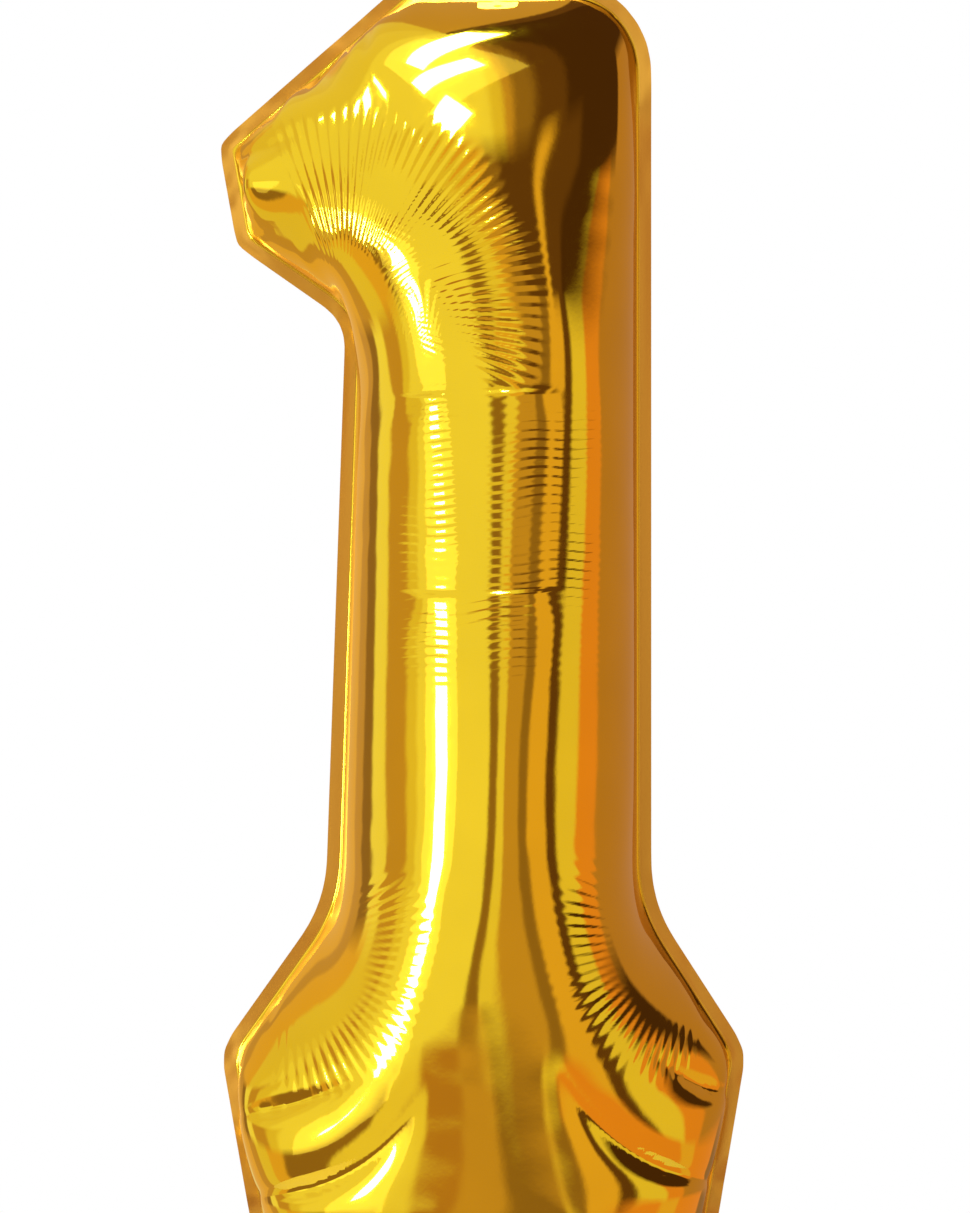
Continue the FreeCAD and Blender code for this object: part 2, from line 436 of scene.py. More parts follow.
def lay_out(cut, cell):
    """The sealed pair of sheets, still flat: a bmesh with both plies and the band.

    Layers on its points: cut is the flat place, aim the place on the frame's seam line,
    band is 0 at the seam and 1 at the film's edge, and inside is 1 off the seam. A
    face's ply is 0 in the front sheet, 1 in the back sheet and 2 in the band.
    """
    line, marks = rounded(cut.corners, cut.radii)
    at = dict(zip(cut.names, marks))
    seam_at = dict(zip(cut.names, cut.seam_marks))

    def side(start, end):
        return (
            stretch(line, at[start], at[end]),
            stretch(cut.seam_line, seam_at[start], seam_at[end]),
        )

    def cells(length):
        return max(2, round(length / cell))

    foot_left = side("foot_low_left", "foot_left")
    shoulder_left = side("foot_left", "shoulder_left")
    stem_left = side("shoulder_left", "elbow")
    under_flag = side("elbow", "tip_low")
    tip = side("tip_low", "tip_high")
    top = side("tip_high", "head")
    right = side("head", "shoulder_right")
    shoulder_right = side("shoulder_right", "foot_right")
    foot_right = side("foot_right", "foot_low_right")
    bottom = side("foot_low_right", "foot_low_left")

    foot = cells((length_of(foot_left[0]) + length_of(foot_right[0])) / 2)
    stem = cells((length_of(stem_left[0]) + length_of(right[0]) * STEM_SHARE) / 2)
    head = cells(length_of(tip[0]) * HEAD_SHARE)
    left, wide = cells(length_of(shoulder_left[0])), cells(STEM_CUT_WIDTH)
    out, flag = cells(length_of(shoulder_right[0])), cells(length_of(under_flag[0]))
    x0 = max(left, flag)
    x1, high = x0 + wide, foot + stem + head

    bm = bmesh.new()
    columns = x1 + out
    bmesh.ops.create_grid(bm, x_segments=columns, y_segments=high, size=0.5)
    for v in bm.verts:
        v.co = Vector(
            (round((v.co.x + 0.5) * columns), 0, round((v.co.y + 0.5) * high))
        )

    def off_the_figure(f):
        i, _, j = f.calc_center_median()
        if j < foot:
            return i < x0 - left
        if j < foot + stem:
            return i < x0 or i > x1
        return i < x0 - flag or i > x1

    outside = [f for f in bm.faces if off_the_figure(f)]
    bmesh.ops.delete(bm, geom=outside, context="FACES")

    cut_layer = bm.verts.layers.float_vector.new("cut")
    aim_layer = bm.verts.layers.float_vector.new("aim")
    band_layer = bm.verts.layers.float.new("band")
    inside_layer = bm.verts.layers.float.new("inside")
    ply_layer = bm.faces.layers.int.new("ply")
    at_cell = {(round(v.co.x), round(v.co.z)): v for v in bm.verts}

    seam = set()

    def along(start, end, lines):
        """Puts the lattice's edge between two of its corners onto the outline."""
        (i0, j0), (i1, j1) = start, end
        count = max(abs(i1 - i0), abs(j1 - j0))
        for step, (here, aim) in enumerate(
            zip(spaced(lines[0], count), spaced(lines[1], count))
        ):
            v = at_cell[
                i0 + (i1 - i0) * step // count, j0 + (j1 - j0) * step // count
            ]
            v.co = Vector((here[0], 0, here[1]))
            v[aim_layer] = Vector((aim[0], 0, aim[1]))
            seam.add(v)

    along((x0 - left, 0), (x0 - left, foot), foot_left)
    along((x0 - left, foot), (x0, foot), shoulder_left)
    along((x0, foot), (x0, foot + stem), stem_left)
    along((x0, foot + stem), (x0 - flag, foot + stem), under_flag)
    along((x0 - flag, foot + stem), (x0 - flag, high), tip)
    along((x0 - flag, high), (x1, high), top)
    along((x1, high), (x1, foot), right)
    along((x1, foot), (columns, foot), shoulder_right)
    along((columns, foot), (columns, 0), foot_right)
    along((columns, 0), (x0 - left, 0), bottom)

    inner = [v for v in bm.verts if v not in seam]
    for v in inner:
        v.co = Vector(
            ((v.co.x - x0) * cell - STEM_CUT_WIDTH / 2, 0, v.co.z * cell)
        )
        v[inside_layer] = 1.0
    for _ in range(EVENING_PASSES):
        bmesh.ops.smooth_vert(
            bm,
            verts=inner,
            factor=0.95,
            use_axis_x=True,
            use_axis_y=False,
            use_axis_z=True,
        )

    # the band, in rings outside the seam
    ring = [e for e in bm.edges if e.is_boundary]
    behind = Vector((0, 1, 0))
    for step in range(1, BAND_RINGS + 1):
        outward, aim_outward = {}, {}
        for e in ring:
            a, b = e.verts
            out_dir = (b.co - a.co).cross(behind).normalized()
            aim_dir = (b[aim_layer] - a[aim_layer]).cross(behind).normalized()
            if out_dir.dot(e.link_faces[0].calc_center_median() - a.co) > 0:
                out_dir.negate()
                aim_dir.negate()
            for v in e.verts:
                outward[v] = outward.get(v, Vector()) + out_dir
                aim_outward[v] = aim_outward.get(v, Vector()) + aim_dir
        roots, ring = extruded(bm, ring)
        for v, root in roots.items():
            out_dir = outward[root].normalized()
            aim_dir = aim_outward[root].normalized()
            v.co = root.co + out_dir * SEAM_BAND / BAND_RINGS
            v[aim_layer] = root[aim_layer] + aim_dir * SEAM_BAND / BAND_RINGS
            v[band_layer] = step / BAND_RINGS
            for f in v.link_faces:
                f[ply_layer] = 2
    for v in bm.verts:
        v[cut_layer] = v.co

    # the back sheet, sealed to the front one at the seam
    front = [f for f in bm.faces if f[ply_layer] == 0]
    twin = bmesh.ops.duplicate(bm, geom=front + inner + list(seam))
    back = [g for g in twin["geom"] if isinstance(g, bmesh.types.BMFace)]
    for f in back:
        f[ply_layer] = 1
    back_inner = {twin["vert_map"][v] for v in inner}
    for v in inner:
        v.co.y = -PLY_GAP
    for v in back_inner:
        v.co.y = PLY_GAP
    welds = {twin["vert_map"][v]: v for v in seam}
    bmesh.ops.weld_verts(bm, targetmap=welds)
    bm.normal_update()
    for f in list(bm.faces):
        wants_back = f[ply_layer] == 1
        if (f.normal.y > 0) != wants_back:
            f.normal_flip()
    bmesh.ops.scale(bm, vec=Vector((MM, MM, MM)), verts=bm.verts)

    # the same order in every run, which the simulation needs to repeat itself
    bm.verts.index_update()
    for elements in (bm.edges, bm.faces):
        ranked = sorted(elements, key=lambda e: sorted(v.index for v in e.verts))
        for place, element in enumerate(ranked):
            element.index = place
        elements.sort()
    return bm


def start_lowest(mesh):
    """Starts each edge and each four-sided face at its lowest numbered point."""
    ends = np.sort(edges_of(mesh), axis=0).astype(np.int32)
    mesh.edges.foreach_set("vertices", ends.T.ravel())
    turns = None
    for name in ("vertex_index", "edge_index"):
        corners = read(mesh.loops, name, kind=np.int32).reshape(-1, 4)
        if turns is None:
            turns = (np.arange(4) + corners.argmin(1)[:, None]) % 4
        mesh.loops.foreach_set(name, np.take_along_axis(corners, turns, 1).ravel())


def blow_up(obj, frames, pressure, compression=FILLING_STIFFNESS, rest=None):
    """Steps the cloth simulation and gives the points it ends with."""
    mesh = obj.data
    start_lowest(mesh)
    if rest is not None:
        obj.shape_key_add(name="blown")
        key = obj.shape_key_add(name="flat")
        key.data.foreach_set("co", np.asarray(rest, np.float32).ravel())
    gas = obj.vertex_groups.new(name="gas")
    band = values_of(mesh, "band")
    gas.add([int(i) for i in np.nonzero(band < 1e-6)[0]], 1.0, "REPLACE")
    modifier = obj.modifiers.new("gas", "CLOTH")
    cloth = modifier.settings
    cloth.quality = 5
    cloth.mass = 0.02
    cloth.air_damping = 1.5
    cloth.bending_model = "ANGULAR"
    cloth.tension_stiffness = 80
    cloth.compression_stiffness = compression
    cloth.shear_stiffness = 40
    cloth.bending_stiffness = 0.02
    cloth.tension_damping = 10
    cloth.compression_damping = 10
    cloth.shear_damping = 10
    cloth.bending_damping = 0.5
    cloth.use_pressure = True
    cloth.uniform_pressure_force = pressure
    cloth.vertex_group_pressure = "gas"
    cloth.effector_weights.gravity = 0
    if rest is not None:
        cloth.rest_shape_key = obj.data.shape_keys.key_blocks["flat"]
    modifier.collision_settings.use_collision = False
    modifier.collision_settings.use_self_collision = False
    modifier.point_cache.frame_start = 1
    modifier.point_cache.frame_end = frames + 1
    scene = bpy.context.scene
    for step in range(1, frames + 1):
        scene.frame_set(step)
    shown = obj.evaluated_get(bpy.context.evaluated_depsgraph_get())
    points = points_of(shown.data)
    obj.modifiers.remove(modifier)
    if rest is not None:
        obj.shape_key_clear()
    scene.frame_set(1)
    if not np.isfinite(points).all():
        raise RuntimeError("the film tore itself apart in the simulation")
    return points


def find_cut(settings):
    """The cut whose seam, once blown up, comes to rest on the frame's seam."""
    cut = Cut()
    for _ in range(settings.trials):
        bm = lay_out(cut, settings.trial_cell)
        aim_layer = bm.verts.layers.float_vector["aim"]
        cut_layer = bm.verts.layers.float_vector["cut"]
        line, marks = rounded(cut.corners, cut.radii)
        bm.verts.ensure_lookup_table()
        band_layer = bm.verts.layers.float["band"]
        inside_layer = bm.verts.layers.float["inside"]
        seam = [v for v in bm.verts if v[band_layer] == 0 and v[inside_layer] == 0]
        flat = np.array([(v[cut_layer].x, v[cut_layer].z) for v in seam])
        order = [v.index for v in seam]
        obj = finished(bm, "trial")
        points = blow_up(obj, settings.rise_frames, settings.pressure) / MM
        landed = []
        for mark in marks:
            nearest = int(np.argmin(np.linalg.norm(flat - line[mark], axis=1)))
            landed.append(points[order[nearest]][[0, 2]])
        shift = np.mean([a - p for a, p in zip(cut.aims, landed)], axis=0)
        landed = [p + shift for p in landed]
        cut.correct(landed)
        worst = max(np.linalg.norm(a - p) for a, p in zip(cut.aims, landed))
        print(f"trial: the seam is off by up to {worst:.1f} mm")
        mesh = obj.data
        bpy.data.objects.remove(obj)
        bpy.data.meshes.remove(mesh)
    return cut


def refined(obj):
    """Halves the mesh's cells."""
    bm = bmesh.new()
    bm.from_mesh(obj.data)
    bmesh.ops.subdivide_edges(bm, edges=bm.edges, cuts=1, use_grid_fill=True)
    bm.to_mesh(obj.data)
    bm.free()


def settle_on_seam(mesh):
    """Eases the film across until its seam is on the frame's and its band is flat."""
    points = points_of(mesh)
    sealed = values_of(mesh, "inside") == 0
    seam = (values_of(mesh, "band") == 0) & sealed
    aims = places_of(mesh, "aim")
    aims[:, 1] = points[:, 1] * SEAM_WAVE
    # flat where the neck and the hanging tab join the band
    ends = (aims[:, 2] < MM) | (aims[:, 2] > CORNERS["head"][1] * MM - MM)
    aims[:, 1] *= 1 - ends * eased(1.8 * (1 - np.abs(aims[:, 0]) / JOIN_REACH))
    miss = (aims - points)[seam]
    here = points[seam][:, [0, 2]]
    inner = np.nonzero(~sealed)[0]
    for start in range(0, len(inner), 4000):
        block = inner[start : start + 4000]
        gap = np.linalg.norm(points[block][:, None, [0, 2]] - here[None], axis=2)
        weight = 1 / (gap**2 + FOLLOW_SOFTNESS**2) ** 1.5
        moved = (weight @ miss) / weight.sum(1)[:, None]
        moved[:, 1] *= np.exp(-((gap.min(1) / PUSH_DEPTH) ** 2))
        points[block] += moved
    points[sealed] = aims[sealed]
    move_points(mesh, points)


# ---------------------------------------------------------------- ripples

# Fans of fine ripples, where the film is too long and gathers: the centre that the
# crests point to, the range of radius and of angle that the fan fills, the angle between
# crests and the depth at its middle. Millimetres above the bottom seam, and degrees from
# straight right.
RIPPLE_FANS = (
    ((-97, 640), (26, 134), (-32, 116), 3.4, 0.42),
    ((-132, 240), (46, 100), (-100, 44), 4.8, 0.22),
    ((124, 246), (50, 100), (136, 275), 4.8, 0.24),
)
# Where the front sheet's and the back sheet's ripples start, in radians
RIPPLE_PHASES = (0, 3)
# How far a fan takes to fade in, in millimetres and in degrees
FAN_FADES = (26, 12)
# The stem's ripples run straight across it: height range, half width, spacing, depth
STEM_RIPPLES = ((396, 602, 68, 5.8, 0.20), (284, 330, 60, 6.4, 0.09))
# How far they take to fade in, up the stem and across it
STEM_FADES = (30, 12)
# Creases of the way it was folded flat in its packet: height, ends, depth
PACKING_FOLDS = ((585, -69, 42, 1.1), (461, -66, 42, 1.2))
# Steep above the crest and gentle below it, and how far a fold takes to fade in
FOLD_FLANKS = (1.9, 14.0)
FOLD_FADE = 24
# Deep puckers that run in from the foot's sides and the flag's tip: where each starts
# and ends, how far its middle bows to the left of that run, and its depth
PUCKERS = (
    ((-163, 135), (-70, 170), -4, 6.5),
    ((-152, 83), (-40, 168), -20, 9.0),
    ((146, 146), (88, 182), 3, 6.5),
    ((133, 92), (30, 180), 15, 9.0),
    ((-168, 736), (-112, 756), 0, 3.4),
    ((-156, 684), (-108, 710), 0, 2.8),
)


def between(value, low, high, fade):
    """1 inside a range, easing to 0 at its ends."""
    return eased((value - low) / fade) * eased((high - value) / fade)


def in_fan(x, z, centre, first, last):
    """Each point's distance from a fan's centre, and degrees from the fan's middle."""
    dx, dz = x - centre[0], z - centre[1]
    angle = np.degrees(np.arctan2(dz, dx)) - (first + last) / 2
    return np.hypot(dx, dz), (angle + 180) % 360 - 180


def ripple_heights(x, z, phase):
    """How far the film stands out at each point, in millimetres."""
    height = np.zeros(len(x))
    for centre, (near, far), (first, last), pitch, depth in RIPPLE_FANS:
        radius, angle = in_fan(x, z, centre, first, last)
        reach = (last - first) / 2
        window = between(radius, near, far, FAN_FADES[0])
        window *= between(angle, -reach, reach, FAN_FADES[1])
        # crests that wander, and ripples that come and go
        swerve = 0.9 * np.sin(radius / 23 + phase)
        swerve += 0.7 * np.sin(angle / 9 + radius / 37)
        patchy = 0.72 + 0.28 * np.sin(radius / 11 + angle / 7 + 2 * phase)
        turned = np.radians(angle) * (360 / pitch)
        wave = np.sin(turned + swerve) + 0.25 * np.cos(2 * turned)
        height += depth * window * patchy * wave
    for low, high, half, spacing, depth in STEM_RIPPLES:
        window = between(z, low, high, STEM_FADES[0])
        window *= between(x, -half, half, STEM_FADES[1])
        lift = x * 0.06 + 1.6 * np.sin(x / 19 + phase) + 0.8 * np.sin(x / 7.3 + z / 31)
        patchy = 0.6 + 0.4 * np.sin(z / 17 + x / 29 + phase) * np.sin(x / 13 - z / 41)
        height += depth * window * patchy * np.sin(2 * math.pi * (z - lift) / spacing)
    for fold, start, end, depth in PACKING_FOLDS:
        off = z - fold - 1.5 * np.sin(x / 23 + phase)
        flank = np.where(off > 0, off / FOLD_FLANKS[0], off / FOLD_FLANKS[1])
        height += depth * between(x, start, end, FOLD_FADE) * np.exp(-(flank**2))
    for start, end, bow, depth in PUCKERS:
        run = np.subtract(end, start)
        reach = np.hypot(*run)
        run = run / reach
        dx, dz = x - start[0], z - start[1]
        along = (dx * run[0] + dz * run[1]) / reach
        share = np.clip(along, 0, 1)
        off = dz * run[0] - dx * run[1] - 4 * bow * share * (1 - share)
        fade = eased((along + 0.1) / 0.3) * eased((1 - along) / 0.8)
        width = 3 + 7 * share
        height -= depth * fade * np.exp(-np.sqrt(1 + (off / 1.5) ** 2) / width)
    return height


def rippled(x, z):
    """True where a point is in a rippled part, which needs finer cells."""
    found = np.zeros(len(x), bool)
    for centre, (near, far), (first, last), _, _ in RIPPLE_FANS:
        radius, angle = in_fan(x, z, centre, first, last)
        across = np.abs(angle) < (last - first) / 2
        found |= (radius > near) & (radius < far) & across
    low, high, half, _, _ = STEM_RIPPLES[0]
    found |= (z > low) & (z < high) & (np.abs(x) < half)
    return found


# Where real film gathers into many ripples instead of the one deep pinch that a coarse
# mesh makes: x, height above the bottom seam, radius
PINCHES = (
    (-42, 664, 84),
    (38, 612, 36),
    (6, 538, 62),
    (-72, 240, 56),
    (62, 240, 54),
    (78, 766, 42),
    (0, 790, 80),
    (-148, 104, 54),
    (136, 110, 54),
)


def plies_of(mesh):
    """The ply of each inner point: 0 in front, 1 behind."""
    ply = read(mesh.attributes["ply"].data, "value", kind=np.int32)
    corners = read(mesh.loops, "vertex_index", kind=np.int32)
    totals = read(mesh.polygons, "loop_total", kind=np.int32)
    found = np.zeros(len(mesh.vertices), np.int32)
    found[corners] = np.repeat(ply, totals)
    return found


def ease(mesh):
    """Smooths the film a little without shrinking it, with Taubin's two-step filter."""
    points = points_of(mesh)
    a, b = edges_of(mesh)
    degree = np.bincount(np.r_[a, b], minlength=len(points))[:, None]
    weight = EASING_SHARE * (values_of(mesh, "inside") > 0.6)[:, None]
    for _ in range(EASING_PASSES):
        for step in EASING_STEPS:
            total = np.stack(
                [
                    np.bincount(a, points[b, i], len(points))
                    + np.bincount(b, points[a, i], len(points))
                    for i in range(3)
                ],
                axis=1,
            )
            points = points + weight * step * (total / degree - points)
    move_points(mesh, points)


def lay_smooth(mesh):
    """Replaces each pinch by the smoothest film that carries on from what is round it.

    It is the least-squares answer to every point of the patch, and of the film next to
    it, standing out equally far from the middle of its neighbours.
    """
    points = points_of(mesh)
    count = len(points)
    a, b = edges_of(mesh)
    degree = np.bincount(np.r_[a, b], minlength=count)
    sealed = values_of(mesh, "inside") == 0
    plies = plies_of(mesh)
    x, z = points[:, 0] / MM, points[:, 2] / MM
    for px, pz, radius in PINCHES:
        for ply in (0, 1):
            patch = ~sealed & (plies == ply) & (np.hypot(x - px, z - pz) < radius)
            beside = np.zeros(count, bool)
            beside[a[patch[b]]] = True
            beside[b[patch[a]]] = True
            rows = (beside & ~sealed) | patch
            row_of = np.cumsum(rows) - 1
            column_of = np.cumsum(patch) - 1
            bend = np.zeros((int(rows.sum()), int(patch.sum())))
            held = np.zeros((len(bend), 3))
            bend[row_of[patch], column_of[patch]] = -1.0
            for here, there in ((a, b), (b, a)):
                used = rows[here]
                here, there = here[used], there[used]
                share = 1.0 / degree[here]
                free = patch[there]
                cells = row_of[here[free]], column_of[there[free]]
                np.add.at(bend, cells, share[free])
                fixed = share[~free, None] * points[there[~free]]
                np.add.at(held, row_of[here[~free]], fixed)
            ring = rows & ~patch
            held[row_of[ring]] -= points[ring]
            # the gas keeps the patch as round, over all, as it was
            roundness = (bend @ points[patch] + held).mean(0)
            points[patch] = np.linalg.solve(
                bend.T @ bend, bend.T @ (roundness - held)
            )
    move_points(mesh, points)


def blown_film(settings):
    """The sealed sheets as one mesh: blown up, settled on the frame's seam, smooth."""
    cut = find_cut(settings)
    bm = lay_out(cut, settings.cell)
    both = finished(bm, "sealed_film")
    points = blow_up(both, settings.rise_frames, settings.pressure)
    seam = (values_of(both.data, "band") == 0) & (values_of(both.data, "inside") == 0)
    aims = places_of(both.data, "aim")[seam]
    points[:, [0, 2]] += (aims - points[seam])[:, [0, 2]].mean(0)
    move_points(both.data, points)
    refined(both)
    if settings.crease_frames:
        points = blow_up(
            both,
            settings.crease_frames,
            settings.pressure,
            settings.crease_stiffness,
            places_of(both.data, "cut"),
        )
        move_points(both.data, points)
    settle_on_seam(both.data)
    ease(both.data)
    lay_smooth(both.data)
    smooth = both.modifiers.new("smooth", "SUBSURF")
    smooth.levels = smooth.render_levels = 1
    smooth.boundary_smooth = "PRESERVE_CORNERS"
    shown = both.evaluated_get(bpy.context.evaluated_depsgraph_get())
    mesh = bpy.data.meshes.new_from_object(shown)
    bpy.data.objects.remove(both)

    # from the figure's own millimetres to the frame
    points = points_of(mesh)
    points[:, 2] += SEAM_FOOT
    move_points(mesh, points)
    return mesh


def make_film(settings):
    """The front and the back sheet, and the size and area that each is cut to."""
    mesh = blown_film(settings)
    finer_where_rippled(mesh)
    points = points_of(mesh)
    inside = np.clip(values_of(mesh, "inside"), 0, 1)
    normals = read(mesh.vertex_normals, "vector", 3)
    x, z = points[:, 0] / MM, (points[:, 2] - SEAM_FOOT) / MM
    front, back = (ripple_heights(x, z, phase) for phase in RIPPLE_PHASES)
    height = np.where(points[:, 1] > 0, back, front)
    points += normals * (height * inside * settings.ripple * MM)[:, None]
    move_points(mesh, points)
    flat = places_of(mesh, "cut")
    size = flat.max(0) - flat.min(0)
    area = flat_area(mesh, flat)
    pieces = [one_sheet(mesh, "front_film", 0), one_sheet(mesh, "back_film", 1)]
    bpy.data.meshes.remove(mesh)
    return pieces, (float(size[0]), float(size[2])), area


def finer_where_rippled(mesh):
    """Halves the cells once more where there are ripples to draw."""
    bm = bmesh.new()
    bm.from_mesh(mesh)
    bm.verts.ensure_lookup_table()
    points = np.array([v.co for v in bm.verts])
    wanted = rippled(points[:, 0] / MM, (points[:, 2] - SEAM_FOOT) / MM)
    inside_layer = bm.verts.layers.float["inside"]
    edges = [
        e
        for e in bm.edges
        if all(wanted[v.index] and v[inside_layer] > 0.4 for v in e.verts)
    ]
    bmesh.ops.subdivide_edges(bm, edges=edges, cuts=1, use_grid_fill=True)
    bm.to_mesh(mesh)
    bm.free()


def flat_area(mesh, flat):
    """Area of one sheet as cut: a ply with the band."""
    mesh.calc_loop_triangles()
    ply = read(mesh.attributes["ply"].data, "value", kind=np.int32)
    corners = np.array([t.vertices[:] for t in mesh.loop_triangles])
    polygon = np.array([t.polygon_index for t in mesh.loop_triangles])
    corners = corners[ply[polygon] != 1]
    a, b, c = (flat[corners[:, i]][:, [0, 2]] for i in range(3))
    u, v = b - a, c - a
    return float(np.abs(u[:, 0] * v[:, 1] - u[:, 1] * v[:, 0]).sum() / 2)


def one_sheet(mesh, name, ply):
    """One sheet with its band and its half of the neck."""
    towards = -1 if ply == 0 else 1
    bm = bmesh.new()
    bm.from_mesh(mesh)
    ply_layer = bm.faces.layers.int["ply"]
    band_layer = bm.verts.layers.float["band"]
    inside_layer = bm.verts.layers.float["inside"]
    unwanted = [f for f in bm.faces if f[ply_layer] == 1 - ply]
    bmesh.ops.delete(bm, geom=unwanted, context="FACES")
    for f in bm.faces:
        if f[ply_layer] == 2 and ply == 1:
            f.normal_flip()
    for v in bm.verts:
        if v[inside_layer] <= 0:
            v.co.y += towards * SHEET_GAP * MM
    # the neck: the band's edge below the middle, drawn down to the fold of the tail
    half_neck = TAIL_HIGH.x
    level = PANEL_LOW.z + NECK_LENGTH * MM

    def over_the_neck(v):
        return abs(v.co.x) < half_neck + MM and v.co.z < level + 12 * MM

    edge = [e for e in bm.edges if e.is_boundary and all(map(over_the_neck, e.verts))]
    if len(edge) < 4:
        raise RuntimeError("the bottom seam has no edge for the neck to start from")
    starts = {v: v.co.copy() for e in edge for v in e.verts}
    widest = max(abs(p.x) for p in starts.values())
    for step in range(1, NECK_RINGS + 1):
        roots, edge = extruded(bm, edge)
        share = step / NECK_RINGS
        for v, root in roots.items():
            source = starts[v] = starts[root]
            v.co = Vector(
                (
                    source.x * (1 + (half_neck / widest - 1) * eased(share * 2)),
                    source.y * (1 - share) + towards * NECK_GAP * MM * share,
                    source.z + (PANEL_LOW.z - source.z) * share,
                )
            )
            v[band_layer] = 1.0
    bm.normal_update()
    return finished(bm, name)


# ---------------------------------------------------------------- small parts


def make_tab_ply(name, towards):
    """One ply of the hanging tab: pressed film round the punched hole."""
    segments, rings = 72, 9
    bm = bmesh.new()
    turn = Matrix.Rotation(math.pi / 2, 4, "X")
    hole = bmesh.ops.create_circle(
        bm, segments=segments, radius=TAB_HOLE * MM, matrix=turn
    )["verts"]
    edge = list(bm.edges)
    spokes = {}
    for v in hole:
        start = Vector((v.co.x, v.co.z))
        direction = start.normalized()
        spokes[v] = start, direction * tab_reach(direction)
    for step in range(1, rings + 1):
        roots, edge = extruded(bm, edge)
        share = (step / rings) ** 1.3
        for v, root in roots.items():
            start, rim = spokes[v] = spokes[root]
            flat = start.lerp(rim, share)
            v.co = Vector((flat.x, 0, flat.y))
    for v in bm.verts:
        x, z = v.co.x / MM, v.co.z / MM
        # the lip that the punch leaves, and film that isn't quite flat
        lip = 0.16 * math.exp(-(((math.hypot(x, z) - TAB_HOLE) / 0.7) ** 2))
        wave = 0.10 * math.sin(x / 4.1 + 0.6) * math.cos(z / 5.3)
        fade = float(eased((v.co.z - TAB_LOW.z) / (6 * MM)))
        v.co.y = (wave * fade + towards * (0.10 + lip)) * MM
    face(bm, towards)
    return finished(bm, name)


def tab_reach(direction):
    """How far the tab's edge is from its hole's centre in a direction."""
    half, top, low, radius = TAB_HIGH.x, TAB_HIGH.z, TAB_LOW.z, TAB_CORNER * MM
    dx, dz = direction
    reach = min(
        half / abs(dx) if abs(dx) > 1e-9 else 1e9,
        (top if dz > 0 else low) / dz if abs(dz) > 1e-9 else 1e9,
    )
    x, z = dx * reach, dz * reach
    if z > top - radius and abs(x) > half - radius:
        cx, cz = math.copysign(half - radius, x), top - radius
        along = dx * cx + dz * cz
        reach = along + math.sqrt(along**2 - (cx**2 + cz**2 - radius**2))
    return reach


def make_tail_ply(name, towards):
    """One ply of the inflation tail, its mouth a little open, creased by filling."""
    half, top, low = TAIL_HIGH.x, TAIL_HIGH.z, TAIL_LOW.z
    radius = TAIL_CORNER * MM
    bm = bmesh.new()
    bmesh.ops.create_grid(bm, x_segments=30, y_segments=46, size=0.5)
    for v in bm.verts:
        across, down = v.co.x * 2, 0.5 - v.co.y
        z = top + (low - top) * down
        inset = 0.0
        if z < low + radius:
            inset = radius - math.sqrt(max(0.0, radius**2 - (low + radius - z) ** 2))
        x = across * (half - inset)
        mouth = float(eased((down - 0.45) / 0.55))
        # thin at the fold, so that it clears the neck when it is folded up
        belly = 0.08 + 0.27 * float(eased(down / 0.2)) + 2.1 * mouth
        belly = (1 - across**2) * belly
        crease = 0.22 * math.sin(x / MM / 2.3 + 3 * down) * math.sin(math.pi * down)
        curl = 1.1 * math.sin(1.6 * down) * down
        y = towards * (0.12 + belly) + crease * (1 - across**2)
        v.co = Vector((x, y * MM, z))
        v.co.y += curl * MM
    face(bm, towards)
    return finished(bm, name)


def make_crease(name, half, high, low):
    """The film that bends between a flap and the balloon: a thin closed strip."""
    bm = bmesh.new()
    bmesh.ops.create_cube(bm, size=1.0)
    upright = [e for e in bm.edges if abs(e.verts[0].co.z - e.verts[1].co.z) > 0.5]
    bmesh.ops.subdivide_edges(bm, edges=upright, cuts=11)
    middle, tall = (high + low) / 2, high - low
    for v in bm.verts:
        thick = v.co.y * CREASE_THICKNESS * MM
        v.co = Vector((v.co.x * 2 * half, thick, middle + v.co.z * tall))
    return finished(bm, name)


# ---------------------------------------------------------------- materials


def node(tree, kind, inputs=(), stops=(), **settings):
    """Adds a node with its settings, and its stops where it is a ramp of colours.

    An input is a value or another node's output. A stop is a place and a linear colour.
    """
    made = tree.nodes.new(kind)
    for key, value in settings.items():
        setattr(made, key, value)
    for key, value in dict(inputs).items():
        if isinstance(value, bpy.types.NodeSocket):
            tree.links.new(value, made.inputs[key])
        else:
            made.inputs[key].default_value = value
    if stops:
        elements = made.color_ramp.elements
        while len(elements) < len(stops):
            elements.new(0.5)
        for element, (place, tint) in zip(elements, stops):
            element.position = place
            element.color = (*tint, 1)
    return made


def shades(tint, share):
    """Stops from a share of a colour to the colour itself."""
    return (0.3, tuple(c * share for c in tint)), (0.7, tuple(tint))


def emptied(holder):
    """The empty node tree of a material or a world."""
    holder.use_nodes = True
    holder.node_tree.nodes.clear()
    return holder.node_tree


